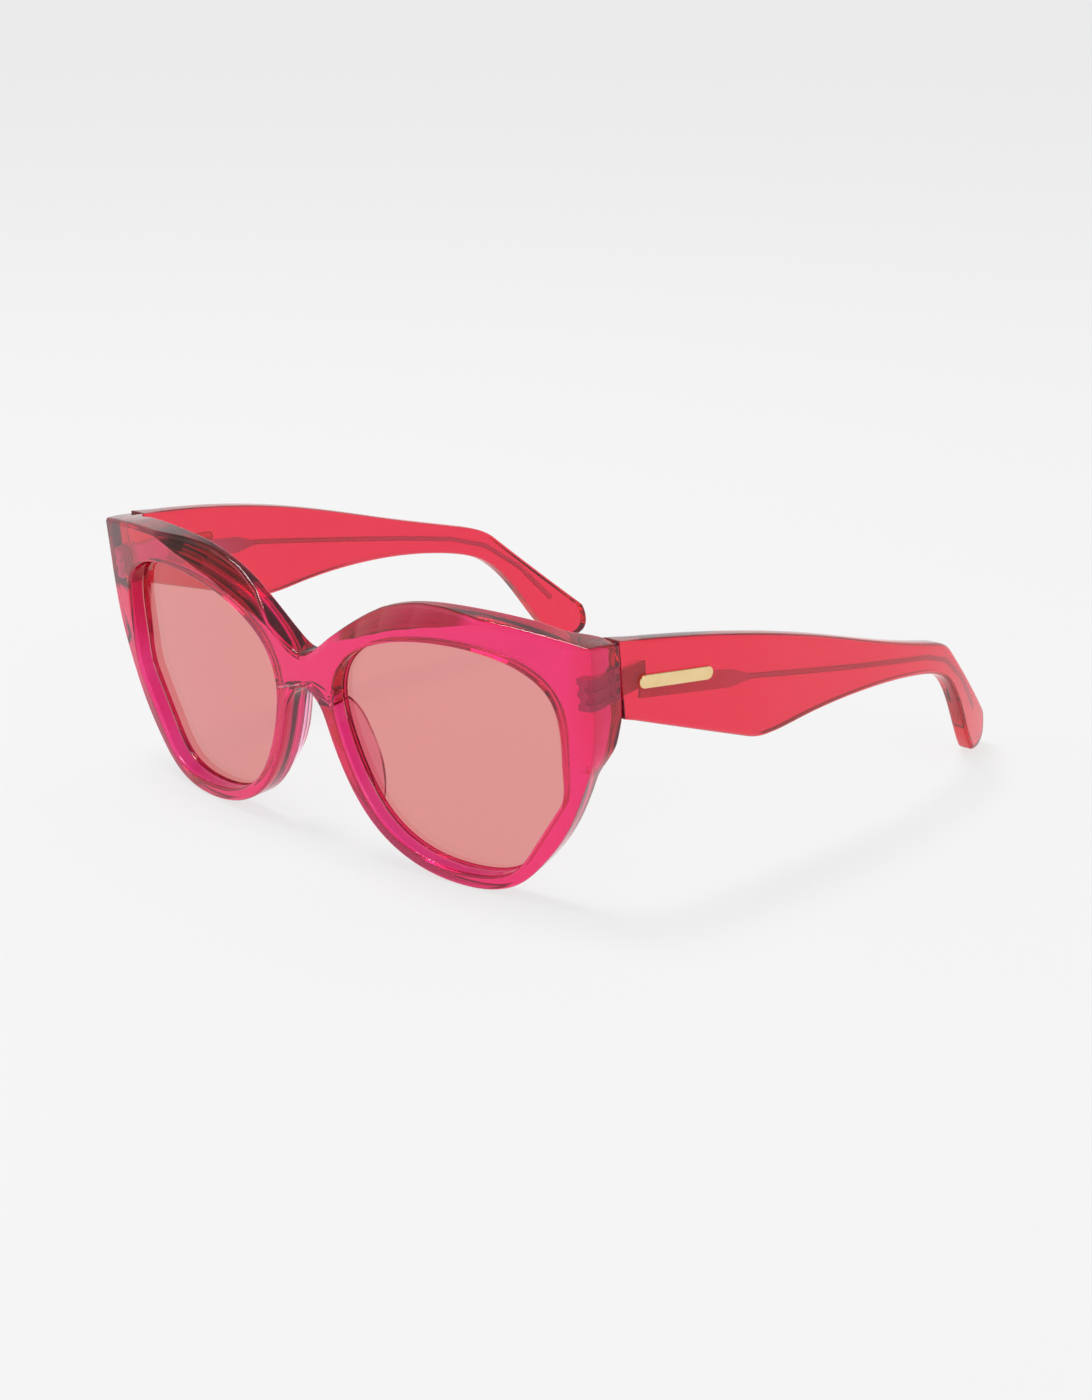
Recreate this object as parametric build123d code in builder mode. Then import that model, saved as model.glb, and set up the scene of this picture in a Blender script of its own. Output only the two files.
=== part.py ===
from build123d import *
import os
from math import cos, radians, sin

os.makedirs("parts", exist_ok=True)

# Cat eye sunglasses in clear acetate, standing open on the rims and the temple tips.
# +Z is up, the lenses face -Y, and the wearer's left is +X. The origin is under the middle of the box.

# Driving dimensions, in millimetres and degrees
front_width = 141.0
brow_height = 58.1          # top of the brow over the lowest point of the rims, along the front
rim_low = -0.15             # lowest point of the rims, along the front
lean = 7.0                  # the top of the front leans forward by this much
wrap_radius = 253.0         # the front is bent round a vertical axis behind it
rim_depth = 5.6
end_piece_back = 17.6       # where the temples butt, behind the middle of the bridge
front_setback = 71.38       # from the middle of the bridge to the middle of the box
front_lift = -0.21          # puts the lowest points of the rims and tips on the ground

bridge_top = 42.0
bridge_under = 34.6
lens_inset = 3.1            # the lens's face behind the rim's face
lens_thickness = 1.8
groove_depth = 0.6

temple_thickness = 4.2
end_piece_inner = 63.6
temple_gap = 0.06           # slit between the end piece and the temple when open
tip_radius = 5.3

hinge_x = 66.3
hinge_mid = 45.0            # middle of the hinge, up the front
knuckle_count = 5
knuckle_height = 1.26
knuckle_radius = 1.3
knuckle_gap = 0.04
screw_radius = 0.6
bore_clearance = 0.03
leaf_thickness = 1.3
barb_height = 1.3
pocket_gap = 0.3

paddle_thickness = 1.2
wire_radius = 0.6
plate_length = 19.0
plate_height = 2.8
plate_thickness = 1.0
post_radius = 0.5

# The front's own planes: across and up its face, across and back, and back and up
back_way = Vector(0, cos(radians(lean)), sin(radians(lean)))
up_way = Vector(0, -sin(radians(lean)), cos(radians(lean)))
front_origin = Vector(0, -front_setback, front_lift)
face_plane = Plane(origin=front_origin, x_dir=(1, 0, 0), z_dir=-back_way)
plan_plane = Plane(origin=front_origin, x_dir=(1, 0, 0), z_dir=up_way)


def side_plane(x):
    """The plane that runs back and up beside the front, x from the middle."""
    return Plane(origin=front_origin + Vector(x, 0, 0), x_dir=back_way, z_dir=(1, 0, 0))


def in_front(x, back, up):
    """A point given across, back and up the front."""
    return front_origin + Vector(x, 0, 0) + back_way * back + up_way * up


def beside(back, up):
    """The same point, seen in the temples' side view."""
    point = in_front(0, back, up)
    return (point.Y, point.Z)


def measured(x, y, z):
    """A point given across, back from the middle of the bridge and up from the rims' lowest point."""
    return Vector(x, y - front_setback, z + front_lift)


half_width = front_width / 2


# Front -------------------------------------------------------------------------------------------
def wrapped_band(front_depth, rear_depth):
    """The plan face between two arcs about the wrap's axis, wider than the front."""
    reach = radians(18)
    with BuildSketch(plan_plane.offset(-5)) as band:
        with BuildLine():
            ends = []
            for radius in (wrap_radius - front_depth, wrap_radius - rear_depth):
                side, back = radius * sin(reach), wrap_radius - radius * cos(reach)
                ThreePointArc((-side, back), (0, wrap_radius - radius), (side, back))
                ends.append((side, back))
            Line(*ends)
            Line(*((-side, back) for side, back in ends))
        make_face()
    return band.sketch


with BuildSketch(Plane.XY) as half_outline:
    with BuildLine():
        brow = Spline(
            (0, bridge_top), (4.6, 44.1), (10.2, 48.4), (19, 54.0), (29, 57.2), (41, brow_height), (55, 57.4),
            (69.0, 55.3), tangents=((1, 0), (1, -0.2)), tangent_scalars=(1, 1),
        )
        corner = FilletPolyline(brow @ 1, (half_width, 55.0), (half_width - 0.3, 43.0), radius=1.0)
        Spline(
            corner @ 1, (69.0, 31.6), (66.5, 24.0), (61.9, 14.6), (56.5, 7.6), (50.9, 2.6), (45.2, 0.4),
            (38.5, rim_low), (27.6, 1.6), (17.3, 7.3), (10.0, 17.0), (6.0, 27.2), (3.4, 32.8), (0, bridge_under),
            tangents=((-0.04, -1), (-1, 0)), tangent_scalars=(1, 1),
        )
        Line((0, bridge_under), (0, bridge_top))
    make_face()

def eye(grow):
    """The outline of the left eye's opening, moved out from its middle by grow."""
    middle = Vector(36, 27)

    def out(x, y):
        way = Vector(x, y) - middle
        return middle + way * (1 + grow / way.length)

    straight_way = (-0.547, -0.837)
    with BuildSketch(Plane.XY) as outline:
        with BuildLine():
            straight = Line(out(61.4, 21.0), out(54.6, 10.6))
            Spline(
                straight @ 1, out(50.4, 5.6), out(45.2, 3.5), out(38.0, 2.95), out(28.4, 4.3), out(19.2, 9.3),
                out(12.9, 18.2), out(9.6, 27.2), out(8.7, 34.6), out(10.8, 40.9), out(16.4, 46.0), out(26.0, 49.7),
                out(38.5, 51.2), out(49.0, 50.4), out(56.2, 48.0), out(60.7, 44.2), out(62.6, 38.4), out(62.7, 29.0),
                straight @ 0, tangents=(straight_way, straight_way), tangent_scalars=(1, 1),
            )
        make_face()
    return outline.sketch


# Left lens: a bent slab a little wider than the opening, so that its edge sits in the rim's groove
with BuildPart() as lens:
    with BuildSketch(face_plane.offset(5)):
        add(eye(groove_depth))
    extrude(amount=-40)
    extrude(wrapped_band(lens_inset, lens_inset + lens_thickness), amount=75, mode=Mode.INTERSECT)

# Hinge: five knuckles on a screw that stands square to the plan of the front
knuckle_pitch = knuckle_height + knuckle_gap
hinge_height = knuckle_count * knuckle_pitch - knuckle_gap
hinge_low = hinge_mid - hinge_height / 2
leaf_start = knuckle_radius + 0.2


def knuckles(first, way):
    """Every other knuckle, with a tongue from each to its leaf. way is 1 for the temple's, -1 for the front's."""
    with BuildPart() as row:
        for number in range(first, knuckle_count, 2):
            level = hinge_low + number * knuckle_pitch
            with BuildSketch(plan_plane.offset(level)):
                with Locations((hinge_x, end_piece_back)):
                    Circle(knuckle_radius)
                with Locations((hinge_x + knuckle_radius / 2 + 0.05, end_piece_back + way * leaf_start / 2)):
                    Rectangle(knuckle_radius - 0.1, leaf_start)
            extrude(amount=knuckle_height)
    return row.part


def hinge_cylinder(radius, low, high):
    """A cylinder about the hinge's axis, between two heights up the front."""
    with BuildPart() as pin:
        with BuildSketch(plan_plane.offset(low)):
            with Locations((hinge_x, end_piece_back)):
                Circle(radius)
        extrude(amount=high - low)
    return pin.part


# room for the knuckles and the screw's head, sunk in the end piece and the temple
hinge_pocket = hinge_cylinder(knuckle_radius + pocket_gap, hinge_low - pocket_gap, hinge_low + hinge_height + 1)
front_leaf_length = 4.8
temple_leaf_length = 6.5
leaf_middle = hinge_x + 0.05 + leaf_thickness / 2
with BuildPart() as front_hinge:
    add(knuckles(0, -1))
    with BuildSketch(plan_plane.offset(hinge_low)):
        with Locations((leaf_middle, end_piece_back - leaf_start - front_leaf_length / 2)):
            Rectangle(leaf_thickness, front_leaf_length)
    extrude(amount=hinge_height)
    # barbs across the leaf, sunk in the acetate
    for level in (0.0, 0.5, 1.0):
        with BuildSketch(plan_plane.offset(hinge_low + level * (hinge_height - barb_height))):
            with Locations((leaf_middle, end_piece_back - leaf_start - front_leaf_length / 2 - 0.5)):
                Rectangle(leaf_thickness + 1.2, front_leaf_length - 1.4)
        extrude(amount=barb_height)
    add(hinge_cylinder(screw_radius, hinge_low - 1, hinge_low + hinge_height + 1), mode=Mode.SUBTRACT)

with BuildPart() as hinge_screw:
    add(hinge_cylinder(screw_radius, hinge_low + 0.2, hinge_low + hinge_height))
    add(hinge_cylinder(screw_radius + 0.4, hinge_low + hinge_height, hinge_low + hinge_height + 0.5))
    with BuildSketch(plan_plane.offset(hinge_low + hinge_height + 0.5)):
        with Locations((hinge_x, end_piece_back)):
            Rectangle(3, 0.3)
    extrude(amount=-0.25, mode=Mode.SUBTRACT)


# Temple: its side view, cut from a slab that bows outwards and then in behind the ears
def outer_line():
    """The plan line of the temple's outer face, inside a BuildLine."""
    return Spline(
        in_plan(69.9, 4.0), in_plan(73.3, 30), in_plan(75.0, 50), in_plan(75.3, 70), in_plan(74.8, 90),
        in_plan(72.3, 113), in_plan(68.2, 131), in_plan(61.0, 153),
        tangents=((0.15, 1), (-0.38, 1)), tangent_scalars=(1, 1),
    )


def in_plan(x, y):
    """A plan point, with y measured from the middle of the bridge."""
    return (x, y - front_setback)


def in_side(y, z):
    """A point of the side view, with y measured from the middle of the bridge."""
    return (y - front_setback, z + front_lift)


butt = end_piece_back + temple_gap
with BuildPart() as temple:
    with BuildSketch(Plane.YZ.offset(50)):
        with BuildLine():
            top = Spline(
                beside(butt, 54.2), in_side(37, 52.5), in_side(64, 46.9), in_side(96, 38.2), in_side(112, 34.2),
                in_side(122, 30.2), tangents=((1, -0.1), (0.78, -0.62)), tangent_scalars=(1, 1),
            )
            heel = in_side(143.6 + tip_radius * 0.68, tip_radius * 1.73)
            upper_tip = Line(top @ 1, heel)
            toe = in_side(143.6 - tip_radius * 0.74, tip_radius * 0.33)
            cap = ThreePointArc(heel, in_side(144.6 + tip_radius * 0.6, tip_radius * 0.5), toe)
            under = Spline(
                toe, in_side(131, 12.8), in_side(119.5, 24.3), in_side(108, 28.0), in_side(83, 30.4),
                in_side(62, 29.5), in_side(53, 28.7), tangents=((-0.7, 0.7), (-1, -0.02)), tangent_scalars=(1, 1),
            )
            low_edge = FilletPolyline(under @ 1, in_side(49.5, 28.5), beside(butt, 38.4), radius=16)
            Line(low_edge @ 1, top @ 0)
        make_face()
    extrude(amount=35)
    with BuildSketch(Plane.XY.offset(-10)) as bow:
        with BuildLine():
            outer_face = outer_line()
            inner_face = add(outer_face.moved(Location((-temple_thickness, 0, 0))))
            Line(outer_face @ 0, outer_face @ 0 - Vector(temple_thickness, 0))
            Line(outer_face @ 1, outer_face @ 1 - Vector(temple_thickness, 0))
        make_face()
    extrude(amount=80, mode=Mode.INTERSECT)

# Core wire: a flat paddle from the hinge leaf, narrowing to a round wire that follows the temple
paddle_start = measured(68.35, 18.5, 45.2)
paddle_end = measured(72.75, 46.5, 41.9)
paddle_run = paddle_end - paddle_start
paddle_length = paddle_run.length
paddle_plane = Plane(origin=paddle_start, x_dir=paddle_run, z_dir=paddle_run.cross(Vector(0, 0, 1)))
wire_route = [
    paddle_end - paddle_run.normalized() * 1.0, paddle_end + paddle_run.normalized() * 2.5,
    *(measured(x, y, z) for x, y, z in (
        (73.2, 63, 39.3), (73.1, 79, 36.6), (72.0, 96, 33.8), (70.4, 110, 31.3),
        (68.5, 120, 28.2), (66.4, 130, 21.4), (63.6, 139.2, 11.8),
    )),
]
with BuildPart() as core_wire:
    with BuildSketch(paddle_plane):
        with BuildLine():
            Polyline(
                (0, 2.1), (paddle_length - 5, 1.8), (paddle_length, wire_radius), (paddle_length, -wire_radius),
                (paddle_length - 5, -1.8), (0, -2.1), close=True,
            )
        make_face()
    extrude(amount=paddle_thickness / 2, both=True)
    with BuildLine() as wire_path:
        FilletPolyline(*wire_route, radius=6)
    with BuildSketch(Plane(origin=wire_route[0], z_dir=wire_path.line % 0)):
        Circle(wire_radius)
    sweep(path=wire_path.line)

# Temple's half of the hinge: its leaf is let into the inner face and brazed to the paddle
with BuildPart() as temple_hinge:
    add(knuckles(1, 1))
    with BuildSketch(plan_plane.offset(hinge_low + knuckle_pitch / 2)):
        with Locations((hinge_x + 0.05, end_piece_back + leaf_start)):
            Rectangle(2.2, temple_leaf_length, align=(Align.MIN, Align.MIN))
    extrude(amount=hinge_height - knuckle_pitch)
    # teeth along the leaf's end
    for step in range(4):
        with BuildSketch(plan_plane.offset(hinge_low)):
            with Locations((hinge_x + 0.05, end_piece_back + leaf_start + temple_leaf_length - 0.6 - step * 1.1)):
                Rectangle(2.2, 0.5, align=(Align.MIN, Align.MIN))
        extrude(amount=knuckle_pitch / 2 + 0.5, mode=Mode.SUBTRACT)
    bore = hinge_cylinder(screw_radius + bore_clearance, hinge_low - 1, hinge_low + hinge_height + 1)
    add(bore, mode=Mode.SUBTRACT)
    add(core_wire.part, mode=Mode.SUBTRACT)

# Plain gold plate on the temple's side, on two posts
plate_plane = Plane(
    origin=measured(72.6, 25.3, 46.3), x_dir=(0.115, 1, -0.09), z_dir=(1, -0.115, 0),
)
with BuildPart() as plate:
    with BuildSketch(plate_plane):
        SlotOverall(plate_length, plate_height)
    extrude(amount=plate_thickness)
    with BuildSketch(plate_plane):
        with GridLocations(10, 1, 2, 1):
            Circle(post_radius)
    extrude(amount=-1.2)

with temple:
    add(core_wire.part, mode=Mode.SUBTRACT)
    add(temple_hinge.part, mode=Mode.SUBTRACT)
    add(plate.part, mode=Mode.SUBTRACT)
    add(hinge_pocket, mode=Mode.SUBTRACT)

# Front: a bent slab with a deeper end piece at each side, cut out for the eyes, the lenses' edges and the hinges
with BuildPart() as front_frame:
    with BuildSketch(face_plane.offset(5)):
        add(half_outline.sketch)
        mirror(about=Plane.YZ)
    extrude(amount=-40)
    with BuildPart(mode=Mode.INTERSECT):
        extrude(wrapped_band(0, rim_depth), amount=75)
        for x in (end_piece_inner, -half_width - 5):
            with BuildSketch(side_plane(x)):
                Polygon((12, 26), (15.4, 29), (end_piece_back, 38.4), (end_piece_back, 60), (12, 60), align=None)
            extrude(amount=half_width + 5 - end_piece_inner)
    with BuildSketch(face_plane.offset(5)):
        add(eye(0))
        mirror(about=Plane.YZ)
    extrude(amount=-40, mode=Mode.SUBTRACT)
    for tool in (lens.part, hinge_pocket, front_hinge.part):
        add(tool, mode=Mode.SUBTRACT)
        add(mirror(tool, about=Plane.YZ, mode=Mode.PRIVATE), mode=Mode.SUBTRACT)

# Nose pad: a rounded fin bonded behind the nasal side of the rim, turned out towards the cheek
pad_way = Vector(0.34, 0, 0).add(up_way * -1).normalized()
pad_plane = Plane(
    origin=in_front(9.0, rim_depth - 0.6, 22.5), x_dir=pad_way, z_dir=pad_way.cross(Vector(0.38, 0, 0).add(back_way)),
)
with BuildPart() as nose_pad:
    with BuildSketch(pad_plane):
        with BuildLine():
            Spline(
                (-11.5, 0), (-8.5, 3.2), (-3, 4.6), (4, 4.8), (9, 3.2), (12.5, 0),
                tangents=((0.3, 1), (0.4, -1)), tangent_scalars=(1, 1),
            )
            Line((12.5, 0), (-11.5, 0))
        make_face()
    extrude(amount=1.3, both=True)
    extrude(wrapped_band(rim_depth, 40), amount=75, mode=Mode.INTERSECT)

pairs = {
    "lens": lens, "nose_pad": nose_pad, "front_hinge": front_hinge, "hinge_screw": hinge_screw, "temple": temple,
    "temple_hinge": temple_hinge, "core_wire": core_wire, "side_plate": plate,
}
front_frame.part.label = "front_frame"
export_step(front_frame.part, "parts/front_frame.step")
for name, left_piece in pairs.items():
    with BuildPart() as right_piece:
        add(mirror(left_piece.part, about=Plane.YZ, mode=Mode.PRIVATE))
    left_piece.part.label = "left_" + name
    right_piece.part.label = "right_" + name
    export_step(left_piece.part, "parts/left_" + name + ".step")
    export_step(right_piece.part, "parts/right_" + name + ".step")
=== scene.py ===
import math
import bmesh
import bpy
import numpy as np
from mathutils import Matrix, Vector


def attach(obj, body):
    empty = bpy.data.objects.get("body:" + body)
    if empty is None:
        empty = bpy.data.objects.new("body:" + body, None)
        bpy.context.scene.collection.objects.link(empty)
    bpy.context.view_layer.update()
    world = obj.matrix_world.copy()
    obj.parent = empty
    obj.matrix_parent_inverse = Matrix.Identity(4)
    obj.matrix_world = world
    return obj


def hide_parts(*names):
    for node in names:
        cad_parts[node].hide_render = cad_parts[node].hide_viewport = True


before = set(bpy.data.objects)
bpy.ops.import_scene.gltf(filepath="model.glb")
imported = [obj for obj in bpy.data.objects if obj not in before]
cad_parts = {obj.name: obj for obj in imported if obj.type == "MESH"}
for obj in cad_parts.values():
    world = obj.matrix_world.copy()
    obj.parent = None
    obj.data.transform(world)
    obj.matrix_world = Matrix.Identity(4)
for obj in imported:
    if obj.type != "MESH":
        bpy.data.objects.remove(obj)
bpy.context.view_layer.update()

print("frame loaded:", len(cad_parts), "nodes")

# Lengths are worked out in millimetres, in the frame's own axes, and turned into metres as each mesh is made.
# The front's own measures are x across, w up its leaning face and d behind its bent face.
frontPlace = {
    "lean": math.radians(7.0),      # the top of the front leans forward
    "wrapRadius": 253.0,            # the front is bent round an upright axis behind it
    "setback": -71.38,              # the middle of the bridge in the frame
    "lift": -0.21,
    "eyeMiddle": (36.0, 27.0),      # the columns of the rims radiate from here
}


def spaced(line, count):
    # points at equal steps of arc length along a polyline
    steps = np.hypot(*np.diff(line, axis=0).T)
    run = np.concatenate([[0], np.cumsum(steps)])
    at = np.linspace(0, run[-1], count)
    return np.stack([np.interp(at, run, line[:, k]) for k in range(line.shape[1])], axis=1)


def smoothLine(points, startWay, endWay, count):
    # cubic spline, chord-length t: h1*m0 + 2(h0+h1)*m1 + h0*m2 = 3(h1*slope0 + h0*slope1), unit slopes at the ends
    points = np.array(points, float)
    gap = np.hypot(*np.diff(points, axis=0).T)
    slope = np.diff(points, axis=0) / gap[:, None]
    size = len(points)
    left, right = np.zeros((size, size)), np.zeros((size, 2))
    left[0, 0] = left[-1, -1] = 1
    right[0] = np.array(startWay) / np.hypot(*startWay)
    right[-1] = np.array(endWay) / np.hypot(*endWay)
    mid = np.arange(1, size - 1)
    left[mid, mid - 1], left[mid, mid], left[mid, mid + 1] = gap[1:], 2 * (gap[1:] + gap[:-1]), gap[:-1]
    right[mid] = 3 * (gap[1:, None] * slope[:-1] + gap[:-1, None] * slope[1:])
    ways = np.linalg.solve(left, right)
    knots = np.concatenate([[0], np.cumsum(gap)])
    at = np.linspace(0, knots[-1], 40 * size)
    k = np.clip(np.searchsorted(knots, at, "right") - 1, 0, size - 2)
    h, t = gap[k][:, None], ((at - knots[k]) / gap[k])[:, None]
    line = ((1 + 2 * t) * (1 - t) ** 2 * points[k] + t * (1 - t) ** 2 * h * ways[k]
            + t * t * (3 - 2 * t) * points[k + 1] + t * t * (t - 1) * h * ways[k + 1])
    return spaced(line, count)


def roundedCorner(before, corner, after, radius, count):
    # straight in, an arc of this radius tangent to both straights, straight out
    before, corner, after = (np.array(p, float) for p in (before, corner, after))
    back, on = before - corner, after - corner
    back, on = back / np.hypot(*back), on / np.hypot(*on)
    half = math.acos(np.clip(back @ on, -1, 1)) / 2
    bisector = (back + on) / np.hypot(*(back + on))
    middle = corner + bisector * radius / math.sin(half)
    start, end = corner + back * radius / math.tan(half), corner + on * radius / math.tan(half)
    first, last = (math.atan2(*(p - middle)[::-1]) for p in (start, end))
    turn = (last - first + math.pi) % (2 * math.pi) - math.pi
    at = first + turn * np.linspace(0, 1, count)
    arc = middle + radius * np.stack([np.cos(at), np.sin(at)], axis=1)
    return np.concatenate([[before], arc, [after]])


def waysAlong(line):
    # unit tangents of a dense line
    way = np.gradient(line, axis=0)
    return way / np.hypot(way[:, 0], way[:, 1])[:, None]


def smoothStep(value, low, high):
    # 0 below low, 1 above high, 3t^2 - 2t^3 between
    t = np.clip((value - low) / (high - low), 0, 1)
    return t * t * (3 - 2 * t)


def inFrame(x, back, up):
    # across, back and up the leaning front, to the frame's x, y, z
    c, s = math.cos(frontPlace["lean"]), math.sin(frontPlace["lean"])
    return np.stack([x, frontPlace["setback"] + back * c - up * s, frontPlace["lift"] + back * s + up * c], axis=-1)


def wrapBack(x):
    # how far the bent face lies back: R - sqrt(R^2 - x^2)
    radius = frontPlace["wrapRadius"]
    return radius - np.sqrt(radius ** 2 - x ** 2)


def onFront(x, w, d, square=1.0):
    # d behind the bent face, along the sheet's own normal where square is 1 and straight back where it is 0
    return inFrame(x - square * d * x / frontPlace["wrapRadius"], wrapBack(x) + d, w)


def gridQuads(rows, columns, closedRows, closedColumns):
    # four-sided faces between neighbouring rows and columns, joined round where closed
    i, j = np.meshgrid(np.arange(rows if closedRows else rows - 1),
                       np.arange(columns if closedColumns else columns - 1), indexing="ij")
    ni, nj = (i + 1) % rows, (j + 1) % columns
    corners = [i * columns + j, ni * columns + j, ni * columns + nj, i * columns + nj]
    return np.stack(corners, axis=-1).reshape(-1, 4)


def makePiece(name, points, quads, material, paintedShade=None):
    # seams and poles merged, faces turned outwards, smooth shaded
    mesh = bpy.data.meshes.new(name)
    mesh.from_pydata((points * 0.001).tolist(), [], quads.tolist())
    # the painted shade amount goes on the mesh as a point attribute
    if paintedShade is not None:
        mesh.attributes.new("paintedShade", "FLOAT", "POINT").data.foreach_set("value", paintedShade.astype(np.float32))
    shape = bmesh.new()
    shape.from_mesh(mesh)
    bmesh.ops.remove_doubles(shape, verts=shape.verts, dist=2e-6)
    bmesh.ops.dissolve_degenerate(shape, edges=shape.edges, dist=1e-7)
    if shape.calc_volume(signed=True) < 0:
        bmesh.ops.reverse_faces(shape, faces=shape.faces)
    openEdges = sum(1 for edge in shape.edges if len(edge.link_faces) != 2)
    shape.to_mesh(mesh)
    shape.free()
    mesh.polygons.foreach_set("use_smooth", np.ones(len(mesh.polygons), bool))
    mesh.materials.append(material)
    piece = bpy.data.objects.new(name, mesh)
    bpy.context.scene.collection.objects.link(piece)
    print(f"made {name}: {len(mesh.polygons)} faces, {openEdges} open edges")
    return piece


def roundedSlab(outline, spine, rounding, low, high, faceRows, turns):
    # A slab between two levels, cut to a closed outline. Each column runs from the spine over the high face to the
    # outline's rounded edge, q = outline + inward * e(1 - sin a), level = high - e(1 - cos a), and back underneath.
    way = np.roll(outline, -1, axis=0) - np.roll(outline, 1, axis=0)
    way /= np.hypot(way[:, 0], way[:, 1])[:, None]
    inward = np.stack([way[:, 1], -way[:, 0]], axis=1)
    e = rounding[:, None]
    rows = []
    for t in faceRows:
        rows.append((spine * (1 - t) + (outline + inward * e) * t, np.full(len(outline), high)))
    for a in np.linspace(0, math.pi / 2, turns)[1:]:
        rows.append((outline + inward * e * (1 - math.sin(a)), high - rounding * (1 - math.cos(a))))
    for a in np.linspace(math.pi / 2, 0, turns):
        rows.append((outline + inward * e * (1 - math.sin(a)), low + rounding * (1 - math.cos(a))))
    for t in faceRows[::-1][1:]:
        rows.append((spine * (1 - t) + (outline + inward * e) * t, np.full(len(outline), low)))
    flat = np.stack([q for q, level in rows])
    level = np.stack([level for q, level in rows])
    return flat, level, gridQuads(len(rows), len(outline), False, True)


class Wire:
    # a node socket that takes part in plain Python arithmetic

    def __init__(self, tree, socket):
        self.tree, self.socket = tree, socket

    def maths(self, operation, *values):
        return self.tree.add("ShaderNodeMath", {"operation": operation}, dict(enumerate(values)))

    def __add__(self, other):
        return self.maths("ADD", self, other)

    def __radd__(self, other):
        return self.maths("ADD", other, self)

    def __mul__(self, other):
        return self.maths("MULTIPLY", self, other)

    def __rmul__(self, other):
        return self.maths("MULTIPLY", other, self)

    def __pow__(self, other):
        return self.maths("POWER", self, other)


class Finish:
    # a node tree being written, for a material or the world

    def __init__(self, owner):
        owner.use_nodes = True
        self.nodes, self.links = owner.node_tree.nodes, owner.node_tree.links
        self.nodes.clear()

    def add(self, kind, settings=None, inputs=None, output=0):
        node = self.nodes.new(kind)
        for key, value in (settings or {}).items():
            if key == "stops":
                for number, (place, colour) in enumerate(value):
                    stops = node.color_ramp.elements
                    stop = stops[number] if number < len(stops) else stops.new(place)
                    stop.position, stop.color = place, (*colour, 1)
            else:
                setattr(node, key, value)
        for key, value in (inputs or {}).items():
            if isinstance(value, Wire):
                self.links.new(value.socket, node.inputs[key])
            else:
                isColour = node.inputs[key].type == "RGBA"
                node.inputs[key].default_value = (*value, 1) if isColour else value
        return Wire(self, node.outputs[output]) if len(node.outputs) else None

    def place(self, scale=(1, 1, 1)):
        where = self.add("ShaderNodeTexCoord", output="Object")
        return self.add("ShaderNodeMapping", None, {"Vector": where, "Scale": scale})

    def noise(self, where, scale, detail, roughness=0.5):
        return self.add("ShaderNodeTexNoise", None,
                        {"Vector": where, "Scale": scale, "Detail": detail, "Roughness": roughness})

    def blendColours(self, factor, first, second):
        return self.add("ShaderNodeMix", {"data_type": "RGBA"}, {0: factor, 6: first, 7: second}, output=2)

    def bump(self, height, strength, distance):
        return self.add("ShaderNodeBump", None, {"Height": height, "Strength": strength, "Distance": distance})


def clearPlastic(name, look):
    # polished clear plastic: it transmits, absorbs by depth in its volume, drifts a little in tone, and has faint
    # polish marks and waves, and where the mesh says so its colour is darkened towards brown as painted shade
    material = bpy.data.materials.new(name)
    tree = Finish(material)
    where = tree.place()
    drift = tree.noise(where, look["driftScale"], detail=2.0)
    marks = tree.noise(tree.place(look["markStretch"]), look["markScale"], detail=4.0, roughness=0.6)
    waves = tree.noise(where, look["waveScale"], detail=1.0)
    colour = tree.blendColours(drift, look["colour"], look["cloudColour"])
    # painted shade: the colour is blended towards dark brown by the mesh's shade amount, partly even and partly
    # varied with the drift
    if "paintedShadeColour" in look:
        paintedShade = tree.add("ShaderNodeAttribute", {"attribute_name": "paintedShade"}, output="Fac")
        even, cloudy = look["paintedShadeSpread"]
        colour = tree.blendColours(paintedShade * (even + cloudy * drift), colour, look["paintedShadeColour"])
    roughness = look["roughness"] + marks ** 2.0 * look["markRoughness"]
    normal = tree.bump(waves, look["waveStrength"], look["waveDepth"])
    surface = tree.add("ShaderNodeBsdfPrincipled", None, {
        "Base Color": colour, "Roughness": roughness, "Normal": normal, "IOR": look["ior"],
        "Transmission Weight": look["transmission"]})
    volume = tree.add("ShaderNodeVolumeAbsorption", None, {"Color": look["depthColour"], "Density": look["density"]})
    tree.add("ShaderNodeOutputMaterial", None, {"Surface": surface, "Volume": volume})
    return material


def metalFinish(name, look):
    # rolled or plated metal: brushed marks along one way, slight spread of tone, worn brighter in patches
    material = bpy.data.materials.new(name)
    tree = Finish(material)
    brushed = tree.noise(tree.place(look["brush"]), look["brushScale"], detail=3.0, roughness=0.6)
    patches = tree.noise(tree.place(), look["patchScale"], detail=2.0)
    colour = tree.blendColours(patches, look["colour"], look["wornColour"])
    surface = tree.add("ShaderNodeBsdfPrincipled", None, {
        "Base Color": colour, "Metallic": look["metallic"],
        "Roughness": look["roughness"] + brushed * look["brushRoughness"],
        "Normal": tree.bump(brushed, look["brushStrength"], look["brushDepth"])})
    tree.add("ShaderNodeOutputMaterial", None, {"Surface": surface})
    return material


acetateLook = {
    "colour": (1.0, 0.24, 0.50), "cloudColour": (0.98, 0.19, 0.44),
    "depthColour": (0.958, 0.0, 0.62), "density": 480.0,
    "transmission": 0.96, "ior": 1.49, "roughness": 0.015,
    "markRoughness": 0.05, "markScale": 900.0, "markStretch": (1.0, 1.0, 6.0),
    "driftScale": 26.0, "waveScale": 34.0, "waveStrength": 0.25, "waveDepth": 0.0004,
}
frontLook = {**acetateLook, "paintedShadeColour": (0.24, 0.06, 0.01), "paintedShadeSpread": (0.8, 0.4)}      # painted shade on the front's facets, edges and opening walls
templeLook = {
    **acetateLook, "colour": (0.915, 0.14, 0.33), "cloudColour": (0.89, 0.11, 0.29),
    "depthColour": (0.955, 0.0, 0.15), "density": 440.0,
}
padLook = {**acetateLook, "colour": (1.0, 0.74, 0.82), "cloudColour": (0.99, 0.70, 0.79), "density": 130.0}
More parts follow.
